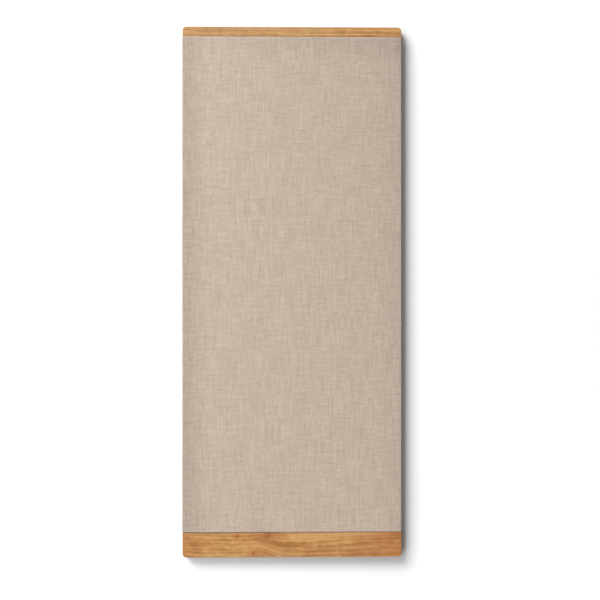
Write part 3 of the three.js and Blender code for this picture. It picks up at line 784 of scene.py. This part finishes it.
def oak(name, rail, pale, dark, banded, streaks, knots):
    """Oiled oak with its grain along the rail. The heart of the tree lies below and behind it."""
    finish, tree = new_finish(name)
    axes = object_axes(tree)
    x, y, z = axes
    low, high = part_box(rail)
    wander = blotches(per_metre(axes, *OAK_WANDERS)) * OAK_WANDER
    flow = z - low.z + wander + blotches(per_metre(axes, *OAK_RIPPLES)) * OAK_RIPPLE
    if knots:
        dip = ease(x, GRAIN_DIP_FROM, GRAIN_DIP_TO) * (ease(x, 0.0, GRAIN_RISE_TO) * -GRAIN_RISE + 1.0)
        flow = flow + dip * GRAIN_DIP
    figure = blotches(per_metre(axes, *OAK_FIGURES)) * 1.1 + 0.31
    figure = figure + oak_streaks(x, flow - wander * 0.7, streaks)
    if knots:
        flow, in_knot, stained = round_knots(axes, flow, high.z, knots)
    grain = (x, y, flow)
    rings = distance(flow - OAK_HEART[1], y - OAK_HEART[0]) / OAK_RING
    ring = (rings + blotches(per_metre(grain, *OAK_RING_WANDERS)) * OAK_RING_WANDER).work("FRACT")
    late = ease(ring, 0.1, 0.75) * ease(ring, 1.0, 0.8)
    band = blotches(per_metre(grain, *OAK_BANDS), 3.0, 0.55)
    fibre = blotches(per_metre(grain, *OAK_FIBRES))
    pore = ease(blotches(per_metre(grain, *OAK_PORES), 1.0), 0.07, 0.17) * ease(ring, 0.9, 0.1)
    dark_share = figure + late * 0.42 + band * banded
    dark_share = dark_share.work("MINIMUM", 1.0).work("MAXIMUM", 0.0)
    wood = mixed(dark_share, pale, dark)
    if not knots:
        wood = mixed(ease(x, *TOP_WARM_END) * 0.85, wood, mixed(dark_share, OAK_PALE, OAK_DARK))
    warm = blotches(at(tree, x * 22, y * 30, z * 70 + 3.0))
    wood = mixed(ease(warm, 0.0, 0.3) * 0.35, wood, OAK_RED)
    if knots:
        red_share = ease(x, *RED_RIGHT_END) * ease(warm, -0.45, 0.15) + ease(x, *RED_LEFT_END) * 0.5
        wood = mixed(red_share, wood, mixed(dark_share, OAK_RED_PALE, OAK_RED_DARK))
        wood = mixed(stained * 0.9, wood, OAK_RED)
        wood = mixed(in_knot, wood, OAK_KNOT)
    facing = node(tree, "ShaderNodeNewGeometry").outputs["Normal"]
    soaked = ease(axes_of(facing)[0].work("ABSOLUTE"), 0.6, 1.0) * -0.25
    colour = toned(wood, fibre * 0.34 + pore * -0.27 + soaked + 1.02)
    lay_on(tree, colour, late * -0.08 + pore * 0.2 + 0.55, pore * -1.0 + late * 0.3, OAK_RELIEF,
           Specular_IOR_Level=0.35)
    return finish


def joined_copy(name):
    """A solid's own shape with its loose triangles joined, and its edges marked as round or sharp."""
    mesh = bmesh.new()
    mesh.from_mesh(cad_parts[name].data)
    bmesh.ops.remove_doubles(mesh, verts=mesh.verts, dist=0.002 * MM)
    for face in mesh.faces:
        face.smooth = True
    for edge in mesh.edges:
        edge.smooth = edge.calc_face_angle(0.0) < SHARPEST_ROUND
    made = bpy.data.meshes.new(name)
    mesh.to_mesh(made)
    mesh.free()
    return made


def even_flats(piece):
    """Keeps the shading of the flats even up to the edge of the rounds."""
    flats = piece.modifiers.new("flats", "WEIGHTED_NORMAL")
    flats.weight = 100
    flats.keep_sharp = True


top_oak = oak("oak_top", "top_rail", TOP_OAK_PALE, TOP_OAK_DARK, TOP_BANDED, TOP_STREAKS, ())
bottom_oak = oak("oak_bottom", "bottom_rail", OAK_PALE, OAK_DARK, BOTTOM_BANDED, BOTTOM_STREAKS, KNOTS)
even_flats(put_on("top_rail_oak", joined_copy("top_rail"), top_oak, "oak", "top_rail"))
even_flats(put_on("bottom_rail_oak", joined_copy("bottom_rail"), bottom_oak, "oak", "bottom_rail"))


# Rail fixings: fluted beech dowels glued across the joints, and zinc-plated wood screws that pull the
# rails on. The screws are driven from inside the frame, so none of these shows on the finished board.
BEECH_PALE = (0.66, 0.44, 0.24)
BEECH_FLECK = (0.45, 0.25, 0.11)
BEECH_FLECKS = (2500, 2500, 250)
BEECH_RELIEF = 0.04 * MM
DOWEL = {"Diameter": 6 * MM, "Length": 32 * MM, "Chamfer": 0.8 * MM, "Flute": 0.25 * MM}
DOWEL_FLUTES = 18
DOWEL_RINGS = 4
POINTS_PER_FLUTE = 4
RAIL_SCREW = {"Head": 7 * MM, "Shank": 3.5 * MM, "Length": 45 * MM, "Pitch": 1.8 * MM}
SCREW_SHAPE = {"Rim": 0.3 * MM, "Ridge": 0.3 * MM, "Recess": 1.5 * MM, "Slot": 0.9 * MM}
SCREW_ROUND = 28
STEPS_PER_PITCH = 6
SCREW_CORE = 0.37
THREAD_FROM = 0.45
RIDGE_SLOPE = 6.0
POINT_SLOPE = 0.55
POINT_ROUND = 0.02 * MM
RECESS_SPAN = 0.56
RECESS_TAPER = 0.62
HEAD_UP = 0.0
HEAD_DOWN = math.pi
HEAD_TO_WALL = -math.pi / 2
ENDS = ("top", "bottom")
SIDES = ("left", "right")


def beech():
    """Plain beech with the short dark flecks of its rays."""
    finish, tree = new_finish("beech")
    flecks = blotches(per_metre(object_axes(tree), *BEECH_FLECKS), 2.0)
    colour = mixed(ease(flecks, 0.05, 0.3), BEECH_PALE, BEECH_FLECK)
    lay_on(tree, colour, flecks * 0.1 + 0.6, flecks, BEECH_RELIEF)
    return finish


def point_axes(tree):
    """The x, y and z of a point of the shape that a tree is making."""
    return axes_of(node(tree, "GeometryNodeInputPosition").outputs[0])


def dowel_tree(finish):
    """A dowel stands along z about its middle. Its rings are its ends and the edges of their chamfers."""
    tree, given = new_tree("fluted_dowels", *DOWEL)
    size = {name: Field(given[name]) for name in DOWEL}
    rod = {"Vertices": DOWEL_FLUTES * POINTS_PER_FLUTE, "Side Segments": DOWEL_RINGS - 1, "Radius": 1.0,
           "Depth": size["Length"]}
    rod = node(tree, "GeometryNodeMeshCylinder", rod, fill_type="NGON").outputs["Mesh"]
    x, y, z = point_axes(tree)
    at_end = (z.work("ABSOLUTE") - size["Length"] * 0.4).work("GREATER_THAN", 0.0)
    between = at_end * -1.0 + 1.0
    flute = ((y.work("ARCTAN2", x) * DOWEL_FLUTES).work("COSINE") * 0.5 + 0.5) * size["Flute"]
    radius = size["Diameter"] * 0.5 - at_end * size["Chamfer"] - between * flute
    height = z.work("SIGN") * (size["Length"] * 0.5 - between * size["Chamfer"])
    shape = {"Geometry": rod, "Position": at(tree, x * radius, y * radius, height)}
    solid = node(tree, "GeometryNodeSetPosition", shape).outputs[0]
    spread(tree, given, solid, (0.0, 0.0, 0.0), (1.0, 1.0, 1.0), finish)
    return tree


def dowel_place(name):
    """The middle of a dowel."""
    low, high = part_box(name)
    return (low + high) / 2, 0.0


def screw_tree(finish):
    """A screw hangs down z from the top of its head, and its place says where the head faces.

    Its core is a share of the shank's width. The start of its thread and its recess are shares of the
    head's width.
    """
    names = (*RAIL_SCREW, *SCREW_SHAPE)
    tree, given = new_tree("wood_screws", *names)
    size = {name: Field(given[name]) for name in names}
    steps = (size["Length"] / size["Pitch"] * STEPS_PER_PITCH).work("ROUND")
    rod = {"Vertices": SCREW_ROUND, "Side Segments": steps, "Radius": 1.0, "Depth": size["Length"]}
    rod = node(tree, "GeometryNodeMeshCylinder", rod, fill_type="NGON").outputs["Mesh"]
    x, y, z = point_axes(tree)
    down = size["Length"] * 0.5 - z
    cone = size["Head"] * 0.5 - (down - size["Rim"]).work("MAXIMUM", 0.0)
    radius = cone.work("MAXIMUM", size["Shank"] * SCREW_CORE)
    turns = down / size["Pitch"] + y.work("ARCTAN2", x) / (2 * math.pi)
    crest = ((turns.work("FRACT") - 0.5).work("ABSOLUTE") * -RIDGE_SLOPE + 1.0).work("MAXIMUM", 0.0)
    threaded = (down - size["Head"] * THREAD_FROM).work("GREATER_THAN", 0.0)
    radius = radius + crest * size["Ridge"] * threaded
    radius = radius.work("MINIMUM", (size["Length"] - down) * POINT_SLOPE + POINT_ROUND)
    shape = {"Geometry": rod, "Position": at(tree, x * radius, y * radius, down * -1.0)}
    body = node(tree, "GeometryNodeSetPosition", shape).outputs[0]
    wings = node(tree, "GeometryNodeJoinGeometry")
    span = size["Head"] * RECESS_SPAN
    for across, thick in ((span, size["Slot"]), (size["Slot"], span)):
        wing = {"Size": at(tree, across, thick, size["Recess"] * 2.0)}
        tree.links.new(node(tree, "GeometryNodeMeshCube", wing).outputs["Mesh"], wings.inputs[0])
    tip = z.work("LESS_THAN", 0.0) * -RECESS_TAPER + 1.0
    taper = {"Geometry": wings.outputs[0], "Position": at(tree, x * tip, y * tip, z)}
    cutter = node(tree, "GeometryNodeSetPosition", taper).outputs[0]
    cut = {"Mesh 1": body, "Self Intersection": True}
    carved = node(tree, "GeometryNodeMeshBoolean", cut, operation="DIFFERENCE", solver="EXACT")
    tree.links.new(cutter, carved.inputs["Mesh 2"])
    faces = {"Mesh": carved.outputs["Mesh"]}
    faces = node(tree, "GeometryNodeTriangulate", faces, ngon_method="BEAUTY").outputs["Mesh"]
    smooth = node(tree, "GeometryNodeSetShadeSmooth", {"Geometry": faces}, domain="FACE")
    angle = Field(node(tree, "GeometryNodeInputMeshEdgeAngle").outputs["Unsigned Angle"])
    edges = {"Geometry": smooth.outputs[0], "Shade Smooth": angle.work("LESS_THAN", SHARPEST_ROUND)}
    marked = node(tree, "GeometryNodeSetShadeSmooth", edges, domain="EDGE").outputs[0]
    tilt = heading(tree)
    spin = chance(tree, given, 0.0, math.pi, 0)
    turn = at(tree, tilt, spin * tilt.work("SINE") * -1.0, spin * tilt.work("COSINE"))
    spread(tree, given, marked, turn, (1.0, 1.0, 1.0), finish)
    return tree


def screw_place(name, tilt):
    """The middle of a screw's head, and the tilt that turns the head up, down or to the wall."""
    low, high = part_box(name)
    facing = Vector((0.0, -math.sin(tilt), math.cos(tilt)))
    return (low + high) / 2 + facing * abs((high - low).dot(facing)) / 2, tilt


def drive_in(name, solids, size):
    """A group of like screws in the place of their solids, each of which comes with its tilt."""
    places = [screw_place(solid, tilt) for solid, tilt in solids]
    mesh = grown(name, wood_screws, places, **size, **SCREW_SHAPE, Seed=3)
    put_on(name, mesh, zinc_plating, "zinc_steel", *[solid for solid, _ in solids])


dowels = [f"{rail}_dowel_{side}" for rail in ENDS for side in SIDES]
dowel_places = [dowel_place(name) for name in dowels]
beech_wood = beech()
dowel_mesh = grown("rail_dowels", dowel_tree(beech_wood), dowel_places, **DOWEL)
put_on("rail_dowels", dowel_mesh, beech_wood, "beech", *dowels)
wood_screws = screw_tree(zinc_plating)
rail_screws = [(f"{rail}_rail_screw_{place}", tilt)
               for rail, tilt in zip(ENDS, (HEAD_DOWN, HEAD_UP))
               for place in ("left", "centre", "right")]
drive_in("rail_screws", rail_screws, RAIL_SCREW)


# Hangers: two pressed, zinc-plated plates with keyhole slots, let into the top crossbar over deep
# pockets. The board hangs by them on two wall screws.
HANGER_EDGE = 0.25 * MM
HANGER_CORNER = math.radians(50)
for side in SIDES:
    solid = f"{side}_hanger_plate"
    plate = put_on(f"{side}_hanger", joined_copy(solid), zinc_plating, "zinc_steel", solid)
    worn = plate.modifiers.new("worn_edges", "BEVEL")
    worn.width = HANGER_EDGE
    worn.segments = 2
    worn.limit_method = "ANGLE"
    worn.angle_limit = HANGER_CORNER
    even_flats(plate)


# Back screws: countersunk wood screws with a crossed recess, two in each hanger and twelve round the
# back board. Each one was driven home by hand, so the recesses stand at all angles.
HANGER_SCREW = {"Head": 6.6 * MM, "Shank": 3.5 * MM, "Length": 10 * MM, "Pitch": 1.25 * MM}
BACK_SCREW = {"Head": 5.6 * MM, "Shank": 3.0 * MM, "Length": 10 * MM, "Pitch": 1.25 * MM}
hanger_screws = [f"{side}_hanger_screw_{end}" for side in SIDES for end in ("outer", "inner")]
back_screws = [f"back_screw_{side}_{i}" for side in SIDES for i in range(1, 5)]
back_screws += [f"back_screw_{end}_{side}" for end in ENDS for side in SIDES]
drive_in("hanger_screws", [(name, HEAD_TO_WALL) for name in hanger_screws], HANGER_SCREW)
drive_in("back_screws", [(name, HEAD_TO_WALL) for name in back_screws], BACK_SCREW)


# Back board: brown hardboard let into the frame's rebate and screwed down, its rough side out. The
# screen that it was pressed on left a fine square mesh in it.
HARDBOARD_BROWN = (0.235, 0.118, 0.05)
HARDBOARD_DARK = (0.12, 0.055, 0.022)
HARDBOARD_FLECK = (0.34, 0.20, 0.10)
HARDBOARD_FIBRES = 500
HARDBOARD_STAINS = 14
SCREEN_PITCH = 1.5 * MM
SCREEN_WANDER = 0.8 * MM
SCREEN_WANDERS = 60
SCREEN_RELIEF = 0.18 * MM


def hardboard():
    """Dark pressed fibre with the dents of the screen, pale flecks and a few stains."""
    finish, tree = new_finish("hardboard")
    axes = object_axes(tree)
    x, y, z = axes
    bent_x = x + blotches(per_metre(axes, SCREEN_WANDERS)) * SCREEN_WANDER
    bent_z = z + blotches(per_metre((z, y, x), SCREEN_WANDERS)) * SCREEN_WANDER
    turn = 2 * math.pi / SCREEN_PITCH
    dents = (bent_x * turn).work("COSINE") * (bent_z * turn).work("COSINE")
    fibres = blotches(per_metre(axes, HARDBOARD_FIBRES), 4.0, 0.6)
    stains = blotches(per_metre(axes, HARDBOARD_STAINS), 3.0)
    lighter = ease(dents * 0.5 + fibres + stains * 0.55, -0.4, 0.5)
    brown = mixed(lighter, HARDBOARD_DARK, HARDBOARD_BROWN)
    colour = mixed(ease(fibres, 0.16, 0.3) * 0.7, brown, HARDBOARD_FLECK)
    lay_on(tree, colour, fibres * 0.2 + 0.72, dents * 0.5 + fibres * 0.6, SCREEN_RELIEF,
           Specular_IOR_Level=0.3)
    return finish


dress(["back_board"], hardboard())


# Stage: a white wall just behind the board, open behind it so that its back is lit too, and a pale
# floor. The camera sees them from the front only, and lighter than they light the board. A lip round the
# opening keeps the camera from looking through it beside the board, and it lets the light pass.
WALL_GAP = 0.05 * MM
WALL_HALF = 4.0
WALL_LIP_INSET = (0.6 * MM, -0.3 * MM)
WALL_OPENING_INSET = (6 * MM, 6 * MM)
FLOOR_BELOW = 1.9
WALL_BRIGHT = (1.185, 1.21, 1.225)
WALL_ALBEDO = 0.35
WALL_NEAR = 0.4
WALL_FAR = 2.5
WALL_LIFT = 1.5
FLOOR_PALE = 1.0
FLOOR_ALBEDO = 0.1


def seen_rays(tree):
    """1 for rays that show the stage, straight or in metal, and 0 for rays that light the board."""
    rays = node(tree, "ShaderNodeLightPath").outputs
    seen = Field(rays["Is Camera Ray"]).work("MAXIMUM", rays["Is Glossy Ray"])
    return seen.work("MAXIMUM", rays["Is Transmission Ray"])


def stage_finish(name, light_passes=False):
    """A finish for the stage that is clear where the camera looks at its back, and the seen rays."""
    finish, tree = new_finish(name)
    tree.nodes.remove(tree.nodes["Principled BSDF"])
    seen = seen_rays(tree)
    behind = Field(node(tree, "ShaderNodeNewGeometry").outputs["Backfacing"])
    see_through = seen * behind
    if light_passes:
        see_through = see_through - seen + 1.0
    clear = node(tree, "ShaderNodeBsdfTransparent")
    sides = node(tree, "ShaderNodeMixShader", {0: see_through, 2: clear.outputs[0]})
    plug(tree.nodes["Material Output"].inputs["Surface"], sides.outputs[0])
    return finish, seen, sides.inputs[1]


def white_wall(name, light_passes=False):
    """White all over, and whiter far from the board, where less light falls on it."""
    finish, seen, front = stage_finish(name, light_passes)
    x, _, z = object_axes(seen.tree)
    far = ease(distance(x - middle.x, z - middle.z), WALL_NEAR, WALL_FAR)
    white = mixed(seen, (WALL_ALBEDO,) * 3, toned(WALL_BRIGHT, far * WALL_LIFT + 1.0))
    plug(front, node(seen.tree, "ShaderNodeBsdfDiffuse", {"Color": white}).outputs[0])
    return finish


def pale_floor():
    """Plain pale to the camera, and dim to the board."""
    finish, seen, front = stage_finish("pale_floor")
    pale = node(seen.tree, "ShaderNodeEmission", {"Color": (FLOOR_PALE,) * 3})
    dim = node(seen.tree, "ShaderNodeBsdfDiffuse", {"Color": (FLOOR_ALBEDO,) * 3})
    either = node(seen.tree, "ShaderNodeMixShader", {0: seen, 1: dim.outputs[0], 2: pale.outputs[0]})
    plug(front, either.outputs[0])
    return finish


def stage_plane(name, corners, faces, finish):
    """A flat piece of the stage."""
    mesh = bpy.data.meshes.new(name)
    mesh.from_pydata(corners, [], faces)
    made = bpy.data.objects.new(name, mesh)
    bpy.context.scene.collection.objects.link(made)
    mesh.materials.append(finish)


low, high = solids_box
wall_y = high.y + WALL_GAP
middle = (low + high) / 2
floor_z = low.z - FLOOR_BELOW


def wall_corners(left, foot, right, head):
    return [(x, wall_y, z) for x, z in ((left, foot), (right, foot), (right, head), (left, head))]


def inside_board(inset):
    """The corners of an opening that far inside the board's outline, sideways and up and down."""
    side, end = inset
    return wall_corners(low.x + side, low.z + end, high.x - side, high.z - end)


ring_faces = [(i, (i + 1) % 4, (i + 1) % 4 + 4, i + 4) for i in range(4)]
wall_edge = wall_corners(middle.x - WALL_HALF, floor_z, middle.x + WALL_HALF, middle.z + WALL_HALF)
stage_plane("wall", wall_edge + inside_board(WALL_LIP_INSET), ring_faces, white_wall("white_wall"))
stage_plane("wall_lip", inside_board(WALL_LIP_INSET) + inside_board(WALL_OPENING_INSET), ring_faces,
            white_wall("white_lip", light_passes=True))
floor_y = wall_y - 2 * WALL_HALF
floor_edge = ((-WALL_HALF, floor_y), (WALL_HALF, floor_y), (WALL_HALF, wall_y), (-WALL_HALF, wall_y))
floor_corners = [(x, y, floor_z) for x, y in floor_edge]
stage_plane("floor", floor_corners, [(0, 1, 2, 3)], pale_floor())


# Light: a large soft light high on the left, a nearer one level with the board, and an even weak fill.
# A narrow light along the wall serves the views of the right side, and one behind the wall the back.
FILL_LIGHT = 0.138
Lamp = namedtuple("Lamp", "name right back up width height power")
LAMPS = (
    Lamp("high_light", -5.02, -5.84, 6.6, 7.1, 6.5, 1010),
    Lamp("level_light", -1.33, -1.81, -0.38, 2.0, 4.0, 35),
    Lamp("side_light", 3.4, -0.09, 0.0, 0.12, 2.0, 11),
    Lamp("back_light", 1.2, 2.4, 2.6, 3.0, 3.0, 170),
)
for lamp in LAMPS:
    light = bpy.data.lights.new(lamp.name, "AREA")
    light.shape = "RECTANGLE"
    light.size = lamp.width
    light.size_y = lamp.height
    light.energy = lamp.power
    made = bpy.data.objects.new(lamp.name, light)
    made.location = (lamp.right, lamp.back, middle.z + lamp.up)
    made.rotation_euler = (middle - made.location).to_track_quat("-Z", "Y").to_euler()
    made.visible_camera = False
    bpy.context.scene.collection.objects.link(made)
world = bpy.data.worlds.new("studio")
bpy.context.scene.world = world
world.use_nodes = True
sky = world.node_tree
plug(sky.nodes["Background"].inputs["Color"], (1.0, 1.0, 1.0))
plug(sky.nodes["Background"].inputs["Strength"], seen_rays(sky) * (1.0 - FILL_LIGHT) + FILL_LIGHT)


# Camera: square on to the board from three metres, a touch from its left.
VIEW_SIDE = 1.132
CAMERA_DISTANCE = 3.0
CAMERA_SWING = math.radians(1.54)
CAMERA_AIM = (15 * MM, -15 * MM)
SENSOR = 36.0
lens = bpy.data.cameras.new("camera")
lens.sensor_width = SENSOR
lens.sensor_fit = "HORIZONTAL"
lens.lens = SENSOR * CAMERA_DISTANCE / VIEW_SIDE
camera = bpy.data.objects.new("camera", lens)
aim = Vector((middle.x + CAMERA_AIM[0], low.y, middle.z + CAMERA_AIM[1]))
away = Vector((-math.sin(CAMERA_SWING), -math.cos(CAMERA_SWING), 0.0))
camera.location = aim + away * CAMERA_DISTANCE
camera.rotation_euler = (-away).to_track_quat("-Z", "Y").to_euler()
bpy.context.scene.collection.objects.link(camera)
bpy.context.scene.camera = camera
bpy.context.scene.view_settings.view_transform = "Standard"
